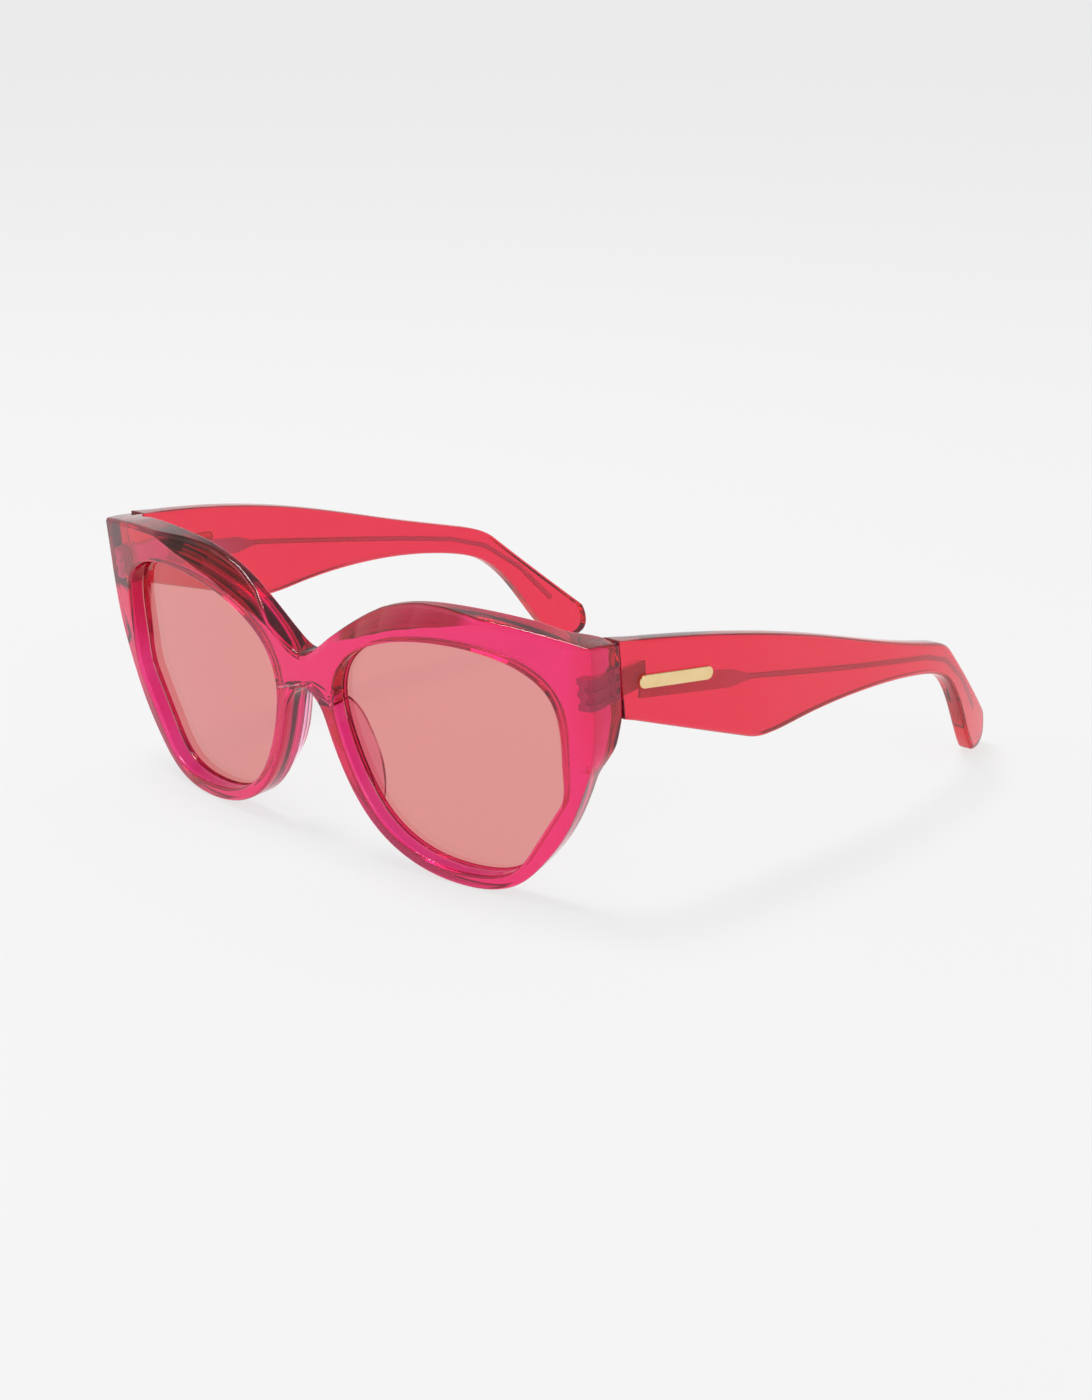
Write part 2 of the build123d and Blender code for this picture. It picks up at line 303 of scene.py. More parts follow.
lensLook = {
    **acetateLook, "colour": (0.84, 0.70, 0.69), "cloudColour": (0.83, 0.68, 0.67),
    "depthColour": (0.86, 0.03, 0.0), "density": 440.0,
    "transmission": 1.0, "ior": 1.5, "roughness": 0.005, "markRoughness": 0.01,
    "driftScale": 8.0, "waveScale": 12.0, "waveStrength": 0.05,
}
metalLook = {"metallic": 1.0, "brushScale": 2600.0, "patchScale": 220.0, "brushDepth": 0.00005}
hingeLook = {
    **metalLook, "colour": (0.86, 0.82, 0.78), "wornColour": (0.94, 0.91, 0.87), "roughness": 0.35, "metallic": 0.4,
    "brushRoughness": 0.2, "brush": (1.0, 0.2, 1.0), "brushStrength": 0.15,
}
screwLook = {
    **metalLook, "colour": (0.55, 0.55, 0.56), "wornColour": (0.70, 0.70, 0.71), "roughness": 0.2,
    "brushRoughness": 0.15, "brush": (1.0, 1.0, 0.2), "brushStrength": 0.1,
}
coreLook = {
    **metalLook, "colour": (0.90, 0.88, 0.85), "wornColour": (0.96, 0.95, 0.93), "roughness": 0.35, "metallic": 0.5,
    "brushRoughness": 0.2, "brush": (1.0, 0.1, 1.0), "brushStrength": 0.2,
}
goldLook = {
    **metalLook, "colour": (0.82, 0.57, 0.26), "wornColour": (0.93, 0.73, 0.42), "roughness": 0.14,
    "brushRoughness": 0.12, "brush": (1.0, 0.15, 1.0), "brushStrength": 0.08,
}
frontAcetate = clearPlastic("fuchsiaAcetate", frontLook)
templeAcetate = clearPlastic("raspberryAcetate", templeLook)
padAcetate = clearPlastic("padAcetate", padLook)
lensTint = clearPlastic("roseLens", lensLook)
hingeMetal = metalFinish("hingeNickel", hingeLook)
screwMetal = metalFinish("screwSteel", screwLook)
coreMetal = metalFinish("coreWireNickel", coreLook)
goldMetal = metalFinish("plateGold", goldLook)
print("finishes written")

frontMake = {
    "brow": [(0, 42.0), (4.6, 44.1), (10.2, 48.4), (19, 54.0), (29, 57.2), (41, 58.1), (55, 57.4), (69.0, 55.3)],
    "corner": (70.5, 55.0), "cornerRadius": 1.0,
    "lower": [(70.2, 43.0), (69.0, 31.6), (66.5, 24.0), (61.9, 14.6), (56.5, 7.6), (50.9, 2.6), (45.2, 0.4),
              (38.5, -0.15), (27.6, 1.6), (17.3, 7.3), (10.0, 17.0), (6.0, 27.2), (3.4, 32.8), (0, 34.6)],
    "frontRound": 0.75,                         # polished edges
    "rearRound": 0.5,
    "buttRound": 0.25,                          # crisp where the temple closes on it
    "rimDepth": 5.6,
    "buttUp": [26, 29, 38.4],                   # how far back the end piece reaches at these heights
    "buttBack": [12.0, 15.4, 17.6],
    "ramp": (62.4, 67.0),                       # the rear face slopes back to the butt plane between these
    "endAcross": (60, 66), "endUp": (26, 34),   # where the end piece begins
    "endDepth": 7.6, "endMost": 1.1,
    "flare": 0.5, "flareAcross": (62, 70), "flareUp": (24, 34),                     # it widens on its way back
    "drop": 1.3, "dropAcross": (56, 68), "dropUp": (46, 54), "dropCurve": 1.4,      # and its top comes down
    "facetAt": [0, 8.5, 11, 15, 21, 30, 38, 47, 70],
    "facetTall": [0.15, 0.15, 0.9, 2.5, 3.3, 3.2, 2.2, 0.15, 0.1],
    "facetDeep": [0.15, 0.15, 1.0, 2.7, 3.6, 3.5, 2.4, 0.15, 0.1],
    "leastTall": 0.12, "leastDeep": 0.02,       # the facet never quite vanishes, so that its rows stay apart
    "facetFade": (0.5, 4.0),                    # before the outer corner
    # painted shade: how strongly the colour darkens on the brow's facet, the outer walls and brow top, and the
    # opening's wall
    "facetPaintedShade": 0.97, "facetPaintedShadeDeep": (0.3, 1.6),
    "browPaintedShade": 0.42, "browPaintedShadeUp": (26, 36), "edgePaintedShade": 0.15, "edgePaintedShadeTurn": 0.9,
    "wallPaintedShade": 0.4,                           # painted shade on the opening's wall before the lens
    "grooveDepth": 0.6, "grooveFront": 3.05, "grooveBack": 4.95,
    "crisp": 0.02, "wallMiddle": 2.2, "wallEase": 0.1,
    "columnGap": 0.55, "cornerReach": 2.2, "cornerColumns": 22,
    "bridgeColumns": 9, "bridgeLow": 0.3, "bridgeHigh": 0.1,
    "seam": 0.01,
    "faceSteps": (0, 0.015, 0.1, 0.2, 0.3, 0.4, 0.5, 0.6, 0.7, 0.8, 0.9, 0.985, 1),
    "facetSteps": (0.04, 0.35, 0.65, 0.97, 1),
    "wallSteps": (0.02, 0.3, 0.6, 0.98),
    "rearSteps": (0.02, *np.linspace(0.04, 0.96, 22), 0.985, 1),
}
eyeMake = {
    "straight": [(61.4, 21.0), (54.6, 10.6)], "way": (-0.547, -0.837),      # the lower outer corner
    "curve": [(50.4, 5.6), (45.2, 3.5), (38.0, 2.95), (28.4, 4.3), (19.2, 9.3), (12.9, 18.2), (9.6, 27.2),
              (8.7, 34.6), (10.8, 40.9), (16.4, 46.0), (26.0, 49.7), (38.5, 51.2), (49.0, 50.4), (56.2, 48.0),
              (60.7, 44.2), (62.6, 38.4), (62.7, 29.0)],
}


def frontOutline():
    # the left half, from the top of the bridge over the brow and round below to the bridge's underside:
    # two splines joined by a rounded corner
    brow = smoothLine(frontMake["brow"], (1, 0), (1, -0.2), 700)
    corner = roundedCorner(brow[-1], frontMake["corner"], frontMake["lower"][0], frontMake["cornerRadius"], 30)
    lower = smoothLine(frontMake["lower"], (-0.04, -1), (-1, 0), 1400)
    return np.concatenate([brow, corner[1:-1], lower])


def eyeOutline():
    # the left opening, clockwise from the top of its straight lower corner: the straight, then one spline
    start, bend = eyeMake["straight"]
    straight = spaced(np.array([start, bend]), 100)
    curve = smoothLine([bend, *eyeMake["curve"], start], eyeMake["way"], eyeMake["way"], 1800)
    return np.concatenate([straight, curve[1:-1]])


eyeLine = eyeOutline()
eyeMiddle = np.array(frontPlace["eyeMiddle"])


def eyeAt(angle):
    # the opening's edge and its outward normal in a direction from its middle
    rays = eyeLine - eyeMiddle
    bearing = np.arctan2(rays[:, 1], rays[:, 0])
    reach = np.interp(angle, bearing, np.hypot(rays[:, 0], rays[:, 1]), period=2 * math.pi)
    way = np.roll(eyeLine, -2, axis=0) - np.roll(eyeLine, 2, axis=0)
    turned = (-way[:, 1], way[:, 0])
    normal = np.stack([np.interp(angle, bearing, part, period=2 * math.pi) for part in turned], axis=1)
    normal /= np.hypot(normal[:, 0], normal[:, 1])[:, None]
    return eyeMiddle + reach[:, None] * np.stack([np.cos(angle), np.sin(angle)], axis=1), normal


def backDepth(x, w):
    # the rear face: rimDepth + step(x) * max(butt(w) - bend(x) - rimDepth, 0), so a ramp out to the butt plane
    plain = frontMake["rimDepth"]
    wanted = np.interp(w, frontMake["buttUp"], frontMake["buttBack"]) - wrapBack(x)
    return plain + smoothStep(x, *frontMake["ramp"]) * np.maximum(wanted - plain, 0)


def makeFront():
    # The left half is a closed band of columns round its outline, and each column is one loop of rows: over the
    # face by (1 - t) * opening + t * outline, down the facet, round the edge by r(1 - sin a) inwards and
    # r(1 - cos a) back, along the wall, over the rear face, and forwards through the lens groove. The right half is
    # its mirror image.
    spec = frontMake
    outline = frontOutline()
    tangent = waysAlong(outline)
    run = np.concatenate([[0], np.cumsum(np.hypot(*np.diff(outline, axis=0).T))])
    cornerRun = run[np.argmax(outline[:, 0] + outline[:, 1])]
    at = np.linspace(0, run[-1], int(run[-1] / spec["columnGap"]))
    reach = spec["cornerReach"]         # the columns stand closer round the outer corner
    nearCorner = np.linspace(cornerRun - reach, cornerRun + reach, spec["cornerColumns"])
    at = np.sort(np.concatenate([at[np.abs(at - cornerRun) > reach], nearCorner]))
    outer = np.stack([np.interp(at, run, outline[:, k]) for k in (0, 1)], axis=1)
    along = np.stack([np.interp(at, run, tangent[:, k]) for k in (0, 1)], axis=1)
    inward = np.stack([along[:, 1], -along[:, 0]], axis=1)
    inward /= np.hypot(inward[:, 0], inward[:, 1])[:, None]
    # the brow's facet, broad on the nasal slope and fading to a narrow bevel at the temple
    onBrow = smoothStep(cornerRun - at, *spec["facetFade"])
    facetHeight = spec["leastTall"] + onBrow * np.interp(outer[:, 0], spec["facetAt"], spec["facetTall"])
    facetDepth = spec["leastDeep"] + onBrow * np.interp(outer[:, 0], spec["facetAt"], spec["facetDeep"])
    # the bridge's columns end on the middle plane, where the halves meet
    bridgeStart = outer[-1, 1] + spec["frontRound"] + spec["bridgeLow"]
    bridgeEnd = outer[0, 1] - spec["frontRound"] - facetHeight[0] - spec["bridgeHigh"]
    bridge = np.linspace(bridgeStart, bridgeEnd, spec["bridgeColumns"])
    count = len(bridge)
    outer = np.concatenate([outer, np.stack([0 * bridge, bridge], axis=1)])
    inward = np.concatenate([inward, np.zeros((count, 2))])
    facetHeight = np.concatenate([facetHeight, np.zeros(count)])
    facetDepth = np.concatenate([facetDepth, np.zeros(count)])
    rays = outer - eyeMiddle
    inner, growth = eyeAt(np.arctan2(rays[:, 1], rays[:, 0]))
    x, w = outer.T
    atEnd = smoothStep(x, *spec["endAcross"]) * smoothStep(w, *spec["endUp"])
    frontRound = np.full(len(x), spec["frontRound"])
    rearRound = spec["rearRound"] + (spec["buttRound"] - spec["rearRound"]) * atEnd
    squareEdge = 1 - atEnd
    rows = []

    def row(place, depth, square, paintedShade=0.0):
        rows.append((place, *(np.broadcast_to(value, x.shape) for value in (depth, square, paintedShade))))

    def offEye(amount):
        return inner + growth * np.reshape(amount, (-1, 1))

    def offEdge(amount):
        return outer + inward * np.reshape(amount, (-1, 1))

    faceStart, faceEnd = offEye(spec["frontRound"]), offEdge(frontRound + facetHeight)
    for t in spec["faceSteps"]:
        row(faceStart * (1 - t) + faceEnd * t, 0.0, 1.0)
    facetEnd = offEdge(frontRound)
    # painted shade on the facet by its depth, and on the outer walls, heavier up on the brow
    facetShadeAmount = smoothStep(facetDepth, *spec["facetPaintedShadeDeep"]) * spec["facetPaintedShade"]
    edgeShadeAmount = spec["edgePaintedShade"] + (spec["browPaintedShade"] - spec["edgePaintedShade"]) * smoothStep(w, *spec["browPaintedShadeUp"])
    for t in spec["facetSteps"]:
        row(faceEnd * (1 - t) + facetEnd * t, facetDepth * t, 1.0, facetShadeAmount)
    for turn in np.linspace(0, math.pi / 2, 7)[1:]:
        row(offEdge(frontRound * (1 - math.sin(turn))), facetDepth + frontRound * (1 - math.cos(turn)), squareEdge,
            np.maximum(facetShadeAmount, edgeShadeAmount * (turn > spec["edgePaintedShadeTurn"])))
    wallStart, wallEnd = facetDepth + frontRound, backDepth(x, w) - rearRound
    for t in spec["wallSteps"]:
        row(offEdge(0), wallStart * (1 - t) + wallEnd * t, squareEdge, edgeShadeAmount)
    for turn in np.linspace(0, math.pi / 2, 6):
        row(offEdge(rearRound * (1 - math.cos(turn))), wallEnd + rearRound * math.sin(turn), squareEdge)
    backStart, backEnd = offEdge(rearRound), offEye(spec["rearRound"])
    for t in spec["rearSteps"]:
        place = backStart * (1 - t) + backEnd * t
        row(place, backDepth(*place.T), squareEdge * (1 - t) + t)
    innerBack, innerRound = backDepth(*backEnd.T), spec["rearRound"]
    for turn in np.linspace(0, math.pi / 2, 6)[1:]:
        row(offEye(innerRound * (1 - math.sin(turn))), innerBack - innerRound * (1 - math.cos(turn)), 1.0)
    deep, low, high, crisp = (spec[key] for key in ("grooveDepth", "grooveFront", "grooveBack", "crisp"))
    # the lens groove; the rows in front of it carry the wall's painted shade
    for amount, depth in (
            (0, high + crisp), (crisp, high), (deep - crisp, high), (deep, high - crisp), (deep, low + crisp),
            (deep - crisp, low), (crisp, low), (0, low - crisp), (0, spec["wallMiddle"]),
            (0, spec["frontRound"] + spec["wallEase"])):
        row(offEye(amount), depth, 1.0, spec["wallPaintedShade"] * (depth < low))
    for turn in np.linspace(math.pi / 2, 0, 8)[:-1]:
        row(offEye(spec["frontRound"] * (1 - math.sin(turn))), spec["frontRound"] * (1 - math.cos(turn)), 1.0)
    place, depth, square, paintedShade = (np.stack([r[k] for r in rows]) for k in range(4))
    # towards the temple the end piece's top comes down and its side widens, so that the temple closes flush
    onWay = np.clip(depth / spec["endDepth"], 0, spec["endMost"])
    atTop = smoothStep(place[..., 0], *spec["dropAcross"]) * smoothStep(place[..., 1], *spec["dropUp"])
    atSide = smoothStep(place[..., 0], *spec["flareAcross"]) * smoothStep(place[..., 1], *spec["flareUp"])
    up = place[..., 1] - spec["drop"] * atTop * onWay ** spec["dropCurve"]
    points = onFront(place[..., 0], up, depth, square)
    points[..., 0] += spec["flare"] * atSide * onWay
    points = points.reshape(-1, 3)
    points[np.abs(points[:, 0]) < spec["seam"], 0] = 0      # the halves meet exactly on the middle plane
    quads = gridQuads(len(rows), len(x), True, True)
    quads = quads[~np.all(points[quads][..., 0] == 0, axis=1)]
    bothPoints = np.concatenate([points, points * (-1, 1, 1)])
    bothQuads = np.concatenate([quads, quads[:, ::-1] + len(points)])
    return bothPoints, bothQuads, np.tile(paintedShade.reshape(-1), 2)


points, quads, paintedShade = makeFront()
front = makePiece("front", points, quads, frontAcetate, paintedShade)
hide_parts("front_frame")
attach(front, "front")

lensMake = {
    "overlap": 0.55, "front": 3.1, "back": 4.9, "edgeRound": 0.12,      # it reaches into the groove
    "columns": 480, "rings": 14, "lastRing": 0.995, "edgeTurns": (0.4, 0.8, 1.2, 1.57),
}


def makeLens():
    # A bent disc, closed on its two middle points: rings (1 - t) * middle + t * edge at the front depth, an edge
    # eased by e(1 - sin a) inwards and e(1 - cos a) back, and the same rings in turn at the back depth.
    spec = lensMake
    angle = np.linspace(0, 2 * math.pi, spec["columns"], endpoint=False)
    edge, growth = eyeAt(angle)
    edge = edge + growth * spec["overlap"]
    e = spec["edgeRound"]
    inset = edge - growth * e
    steps = (*np.linspace(0, 1, spec["rings"])[:-1], spec["lastRing"], 1)
    rings = [(eyeMiddle * (1 - t) + inset * t, 0.0) for t in steps]
    rings += [(edge - growth * e * (1 - math.sin(a)), e * (1 - math.cos(a))) for a in spec["edgeTurns"]]
    rows = [(place, spec["front"] + eased) for place, eased in rings]
    rows += [(place, spec["back"] - eased) for place, eased in rings[::-1]]
    place = np.stack([r[0] for r in rows])
    depth = np.array([r[1] for r in rows])[:, None]
    points = onFront(place[..., 0], place[..., 1], depth)
    return points.reshape(-1, 3), gridQuads(len(rows), len(angle), False, True)


sides = {"left": 1, "right": -1}
for side, sign in sides.items():
    points, quads = makeLens()
    lens = makePiece(side + "Lens", points * (sign, 1, 1), quads, lensTint)
    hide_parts(side + "_lens")
    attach(lens, "front")

padMake = {
    "fin": [(-11.5, 0), (-8.5, 3.2), (-3, 4.6), (4, 4.8), (9, 3.2), (12.5, 0)],     # down the rim and out from it
    "finWays": ((0.3, 1), (0.4, -1)),
    "middle": (9.0, 5.0, 22.5),                 # across, behind the bent face, up the front
    "slant": 0.34, "turnOut": 0.38,             # it runs outwards as it goes down, and stands out towards the cheek
    "halfThick": 1.3,
    "round": 0.85, "footRound": 0.1, "roundUp": (-0.5, 1.5),
    "sunk": 0.25,                               # let into the rim's rear face
    "bend": 0.009,                              # its lower end curves out with the rim
    "taper": 0.55, "taperFrom": (5.0, 12.5),    # and thins by this share
    "spineFrom": [-11.5, -8, 8.5, 12.5], "spineTo": [-9, -7, 7.5, 9.5], "spineUp": 0.45,
}


def makePad():
    # A fin standing back from the nasal rim: a rounded slab on a plane through the rim's rear face. Its outline is a
    # spline h(s) and the line h = 0 under it, with the same steps s, so that the columns of both meet on one spine.
    spec = padMake
    lean = frontPlace["lean"]
    upWay = np.array([0, -math.sin(lean), math.cos(lean)])
    backWay = np.array([0, math.cos(lean), math.sin(lean)])
    downWay = np.array([spec["slant"], 0, 0]) - upWay
    downWay /= np.linalg.norm(downWay)
    across = np.cross(downWay, np.array([spec["turnOut"], 0, 0]) + backWay)
    across /= np.linalg.norm(across)
    outWay = np.cross(across, downWay)
    fin = smoothLine(spec["fin"], *spec["finWays"], 120)
    base = np.stack([fin[::-1, 0], 0 * fin[:, 0]], axis=1)[1:-1]
    outline = np.concatenate([fin, base])
    spineRun = np.interp(outline[:, 0], spec["spineFrom"], spec["spineTo"])
    spine = np.stack([spineRun, spec["spineUp"] * np.interp(spineRun, fin[:, 0], fin[:, 1])], axis=1)
    onFin = smoothStep(outline[:, 1], *spec["roundUp"]) * (np.arange(len(outline)) < len(fin))
    rounding = spec["round"] * (spec["footRound"] + (1 - spec["footRound"]) * onFin)
    flat, level, quads = roundedSlab(outline, spine, rounding, -spec["halfThick"], spec["halfThick"],
                                     np.linspace(0, 1, 6), 6)
    level = level * (1 - spec["taper"] * smoothStep(flat[..., 0], *spec["taperFrom"]))
    foot = inFrame(*spec["middle"]) + flat[..., :1] * downWay + level[..., None] * across
    foot[..., 0] += spec["bend"] * np.maximum(flat[..., 0], 0) ** 2
    # its foot is moved back on to the bent rear face of the rim, and its crest stays
    back = (foot - inFrame(0.0, 0.0, 0.0)) @ backWay
    short = np.maximum(wrapBack(foot[..., 0]) + frontMake["rimDepth"] - spec["sunk"] - back, 0)
    moved = short * (1 - flat[..., 1] / fin[:, 1].max())
    return (foot + flat[..., 1:] * outWay + moved[..., None] * backWay).reshape(-1, 3), quads


for side, sign in sides.items():
    points, quads = makePad()
    pad = makePiece(side + "NosePad", points * (sign, 1, 1), quads, padAcetate)
    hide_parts(side + "_nose_pad")
    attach(pad, "front")

templeMake = {
    "plan": [(69.9, 4.0), (73.3, 30), (75.0, 50), (75.3, 70), (74.8, 90), (72.3, 113), (68.2, 131), (61.0, 153)],
    "planWays": ((0.15, 1), (-0.38, 1)),
    "butt": 17.66, "buttTop": 54.2, "buttLow": 38.4,        # just behind the end piece
    "top": [(37, 52.5), (64, 46.9), (96, 38.2), (112, 34.2), (122, 30.2)],
    "topWays": ((1, -0.1), (0.78, -0.62)),
    "heel": (147.204, 9.169), "cap": (147.78, 2.65), "toe": (139.678, 1.749), "tipMiddle": (143.6, 5.6),
    "capWays": ((0.5, -0.9), (-0.75, 0.45)),
    "under": [(131, 12.8), (119.5, 24.3), (108, 28.0), (83, 30.4), (62, 29.5), (53, 28.7)],
    "underWays": ((-0.7, 0.7), (-1, -0.02)),
    "lowCorner": (49.5, 28.5), "lowRadius": 16.0,
    "thickness": 4.2,
    "round": 1.0, "buttRound": 0.2,                         # soft polished edges, crisp at the butt
    "roundStart": 0.5, "roundFull": 17.5,
    "spineIn": 1.5, "spineStart": 0.04, "spineEnd": 0.9,
    "faceSteps": np.array([0, 0.15, 0.3, 0.45, 0.6, 0.75, 0.88, 0.97, 1]),
}
plan = smoothLine(templeMake["plan"], *templeMake["planWays"], 400)


def outerFace(y):
    # x of the temple's outer face at a distance y behind the bridge
    return np.interp(y, plan[:, 1], plan[:, 0])


def besideFront(back, up):
    # a point of the leaning front, seen from the side
    point = inFrame(0.0, back, up)
    return (point[1] - frontPlace["setback"], point[2] - frontPlace["lift"])


def templeOutline():
    # the side view, clockwise: top edge, rounded tip, under edge with its low corner, butt end
    spec = templeMake
    high, low = besideFront(spec["butt"], spec["buttTop"]), besideFront(spec["butt"], spec["buttLow"])
    top = smoothLine([high, *spec["top"]], *spec["topWays"], 500)
    top = spaced(np.concatenate([top, [spec["heel"]]]), 200)
    cap = smoothLine([spec["heel"], spec["cap"], spec["toe"]], *spec["capWays"], 34)
    under = smoothLine([spec["toe"], *spec["under"]], *spec["underWays"], 500)
    corner = roundedCorner(under[-1], spec["lowCorner"], low, spec["lowRadius"], 30)
    under = spaced(np.concatenate([under, corner[1:]]), 200)
    end = spaced(np.array([low, high]), 24)
    return top, cap, under, end


def makeTemple():
    # A rounded slab with its side view's outline, whose levels are measured inwards from the outer face x = plan(y).
    # Its spine runs half way between the top and under edges, and the ends' columns meet on the spine's end points.
    spec = templeMake
    top, cap, under, end = templeOutline()
    outline = np.concatenate([top, cap[1:-1], under, end[1:-1]])
    middle = 0.5 * (top + under[::-1])
    toTip = np.linspace(0, 1, len(top))
    middle[:, 0] += spec["spineIn"] * (1 - smoothStep(toTip, 0, spec["spineStart"]))
    middle = middle + smoothStep(toTip, spec["spineEnd"], 1.0)[:, None] * (np.array(spec["tipMiddle"]) - middle)
    spine = np.concatenate([middle, np.tile(middle[-1], (len(cap) - 2, 1)), middle[::-1],
                            np.tile(middle[0], (len(end) - 2, 1))])
    roundStart = besideFront(spec["butt"], spec["buttTop"])[0] + spec["roundStart"]
    offButt = smoothStep(outline[:, 0], roundStart, spec["roundFull"])
    rounding = spec["buttRound"] + (spec["round"] - spec["buttRound"]) * offButt
    flat, level, quads = roundedSlab(outline, spine, rounding, -spec["thickness"], 0.0, spec["faceSteps"], 7)
    y, z = flat[..., 0], flat[..., 1]
    points = np.stack([outerFace(y) + level, y + frontPlace["setback"], z + frontPlace["lift"]], axis=-1)
    return points.reshape(-1, 3), quads


for side, sign in sides.items():
    points, quads = makeTemple()
    temple = makePiece(side + "Temple", points * (sign, 1, 1), quads, templeAcetate)
    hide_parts(side + "_temple")
    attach(temple, side + "_arm")

plateMake = {
    "middle": (25.3, 46.3), "length": 19.0, "height": 2.8, "slope": -0.09,
    "proud": 0.75, "sunk": 0.15, "round": 0.38,
    "endColumns": 26, "sideColumns": 22, "faceSteps": np.array([0, 0.5, 0.9, 1]),
}


def makePlate():
    # A plain flat bar with half round ends, q = (half + r cos a, r sin a), turned by its slope and laid on the
    # temple's outer face x = plan(y) + level: a rounded slab.
    spec = plateMake
    end = spec["height"] / 2
    half = spec["length"] / 2 - end
    turn = np.linspace(math.pi / 2, -math.pi / 2, spec["endColumns"])
    right = np.stack([half + end * np.cos(turn), end * np.sin(turn)], axis=1)
    run = np.linspace(-half, half, spec["sideColumns"] + 2)[1:-1]
    topEdge = np.stack([run, np.full(len(run), end)], axis=1)
    outline = np.concatenate([topEdge, right, topEdge[::-1] * (1, -1), -right])
    spine = np.stack([np.clip(outline[:, 0], -half, half), 0 * outline[:, 1]], axis=1)
    rounding = np.full(len(outline), spec["round"])
    flat, level, quads = roundedSlab(outline, spine, rounding, -spec["sunk"], spec["proud"], spec["faceSteps"], 7)
    c, s = np.array([1, spec["slope"]]) / math.hypot(1, spec["slope"])
    y = spec["middle"][0] + flat[..., 0] * c - flat[..., 1] * s
    z = spec["middle"][1] + flat[..., 0] * s + flat[..., 1] * c
    points = np.stack([outerFace(y) + level, y + frontPlace["setback"], z + frontPlace["lift"]], axis=-1)
    return points.reshape(-1, 3), quads


for side, sign in sides.items():
    points, quads = makePlate()
    plate = makePiece(side + "GoldPlate", points * (sign, 1, 1), quads, goldMetal)
    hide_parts(side + "_side_plate")
    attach(plate, side + "_arm")

# the CAD's own metal pieces, seen through the acetate
keptMetals = {
    "front_hinge": hingeMetal, "temple_hinge": hingeMetal, "hinge_screw": screwMetal, "core_wire": coreMetal,
}
for side in sides:
    for node, metal in keptMetals.items():
        part = bpy.data.objects[side + "_" + node]
        part.data.materials.clear()
        part.data.materials.append(metal)
print("pieces placed")

roomMake = {
    "floorSize": 14.0, "floorColour": (0.90, 0.90, 0.90), "grainScale": 60.0, "grainShade": 0.985,
    "skyLow": 0.93, "skyHigh": 0.42, "skyRange": (0.25, 0.8),       # brighter round the sides than overhead
    "backdrop": 0.888,
    "seenColour": (0.90, 0.90, 0.90), "seenThrough": (1.0, 1.0, 1.0), "evenShare": 0.8,
}


def makeFloor():
    half = roomMake["floorSize"] / 2
    material = bpy.data.materials.new("paleFloor")
    tree = Finish(material)
    fine = tree.noise(tree.place(), roomMake["grainScale"], detail=2.0)
    darker = tuple(roomMake["grainShade"] * part for part in roomMake["floorColour"])
    shade = tree.blendColours(fine, roomMake["floorColour"], darker)
    matt = tree.add("ShaderNodeBsdfPrincipled", None, {
        "Base Color": shade, "Roughness": 0.9, "Specular IOR Level": 0.1})
    # seen directly and through the acetate, most of it is an even pale tone, and the rest keeps the shadow
    camera, glossy, through = (tree.add("ShaderNodeLightPath", output=kind) for kind in (
        "Is Camera Ray", "Is Glossy Ray", "Is Transmission Ray"))
    tone = tree.add("ShaderNodeEmission", None, {
        "Color": tree.blendColours(through, roomMake["seenColour"], roomMake["seenThrough"]), "Strength": 1.0})
    direct = tree.add("ShaderNodeMath", {"operation": "ADD", "use_clamp": True}, {0: camera + glossy, 1: through})
    surface = tree.add("ShaderNodeMixShader", None, {0: direct * roomMake["evenShare"], 1: matt, 2: tone})
    tree.add("ShaderNodeOutputMaterial", None, {"Surface": surface})
    mesh = bpy.data.meshes.new("floor")
    mesh.from_pydata([(-half, -half, 0), (half, -half, 0), (half, half, 0), (-half, half, 0)], [], [(0, 1, 2, 3)])
    mesh.materials.append(material)
    floor = bpy.data.objects.new("floor", mesh)
    bpy.context.scene.collection.objects.link(floor)


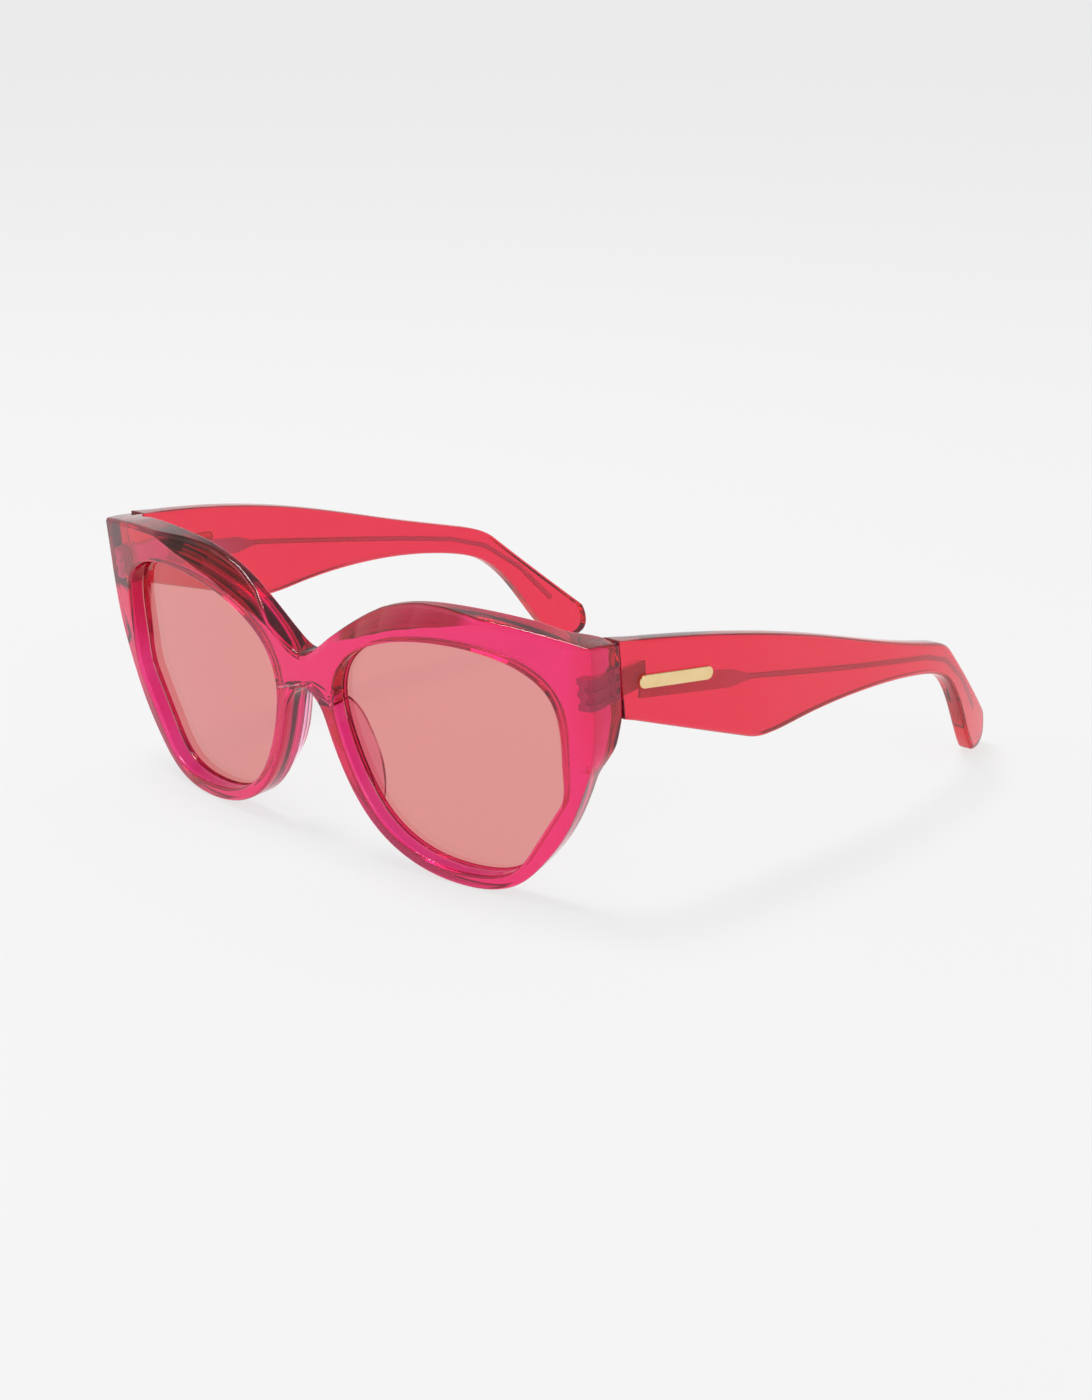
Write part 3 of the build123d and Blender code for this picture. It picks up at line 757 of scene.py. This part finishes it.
def makeSky():
    # an even pale backdrop, and a glow that lights the object
    world = bpy.data.worlds.new("studio")
    bpy.context.scene.world = world
    sky = Finish(world)
    way = sky.add("ShaderNodeTexCoord", output="Generated")
    height = sky.add("ShaderNodeSeparateXYZ", None, {0: way}, output=2)
    start, end = roomMake["skyRange"]
    climb = sky.add("ShaderNodeMapRange", {"interpolation_type": "SMOOTHSTEP"},
                    {"Value": height, "From Min": start, "From Max": end})
    glow = sky.add("ShaderNodeValToRGB", {
        "stops": [(0.0, (roomMake["skyLow"],) * 3), (1.0, (roomMake["skyHigh"],) * 3)]}, {0: climb})
    seen = sky.add("ShaderNodeLightPath", output="Is Camera Ray")
    colour = sky.blendColours(seen, glow, (roomMake["backdrop"],) * 3)
    light = sky.add("ShaderNodeBackground", None, {"Color": colour, "Strength": 1.0})
    sky.add("ShaderNodeOutputWorld", None, {"Surface": light})


def addLamp(name, place, aim, width, length, power):
    # a rectangular softbox that faces its aim
    lamp = bpy.data.lights.new(name, "AREA")
    lamp.shape, lamp.size, lamp.size_y, lamp.energy = "RECTANGLE", width, length, power
    holder = bpy.data.objects.new(name, lamp)
    bpy.context.scene.collection.objects.link(holder)
    holder.location = place
    holder.rotation_mode = "QUATERNION"
    holder.rotation_quaternion = (Vector(aim) - Vector(place)).to_track_quat("-Z", "Y")


makeFloor()
makeSky()
addLamp("keySoftbox", (-0.22, -0.15, 1.05), (0, 0, 0.03), width=0.42, length=0.4, power=6.5)
addLamp("fillSoftbox", (1.2, -0.3, 0.8), (0, 0, 0.03), width=0.6, length=0.6, power=1.5)

cameraMake = {
    "azimuth": 42.3624, "elevation": 17.9785, "roll": 0.6058,
    "distance": 0.576494, "aim": (0.0279205, -0.0333897, 0.0283184),
    "lens": 71.98, "sensor": 36.0, "clip": (0.01, 50),
}


def makeCamera():
    # it looks at its aim from a distance, turned by azimuth round the object, elevation above it and roll
    az, el, roll = (math.radians(cameraMake[k]) for k in ("azimuth", "elevation", "roll"))
    back = Vector((math.sin(az) * math.cos(el), -math.cos(az) * math.cos(el), math.sin(el)))
    right = Vector((math.cos(az), math.sin(az), 0))
    up = back.cross(right)
    across = math.cos(roll) * right + math.sin(roll) * up
    upright = -math.sin(roll) * right + math.cos(roll) * up
    data = bpy.data.cameras.new("camera")
    data.lens, data.sensor_width = cameraMake["lens"], cameraMake["sensor"]
    data.clip_start, data.clip_end = cameraMake["clip"]
    camera = bpy.data.objects.new("camera", data)
    bpy.context.scene.collection.objects.link(camera)
    camera.matrix_world = Matrix.Translation(Vector(cameraMake["aim"]) + cameraMake["distance"] * back) @ \
        Matrix((across, upright, back)).transposed().to_4x4()
    bpy.context.scene.camera = camera


makeCamera()
bpy.context.scene.view_settings.view_transform = "Standard"
print("room and camera ready")
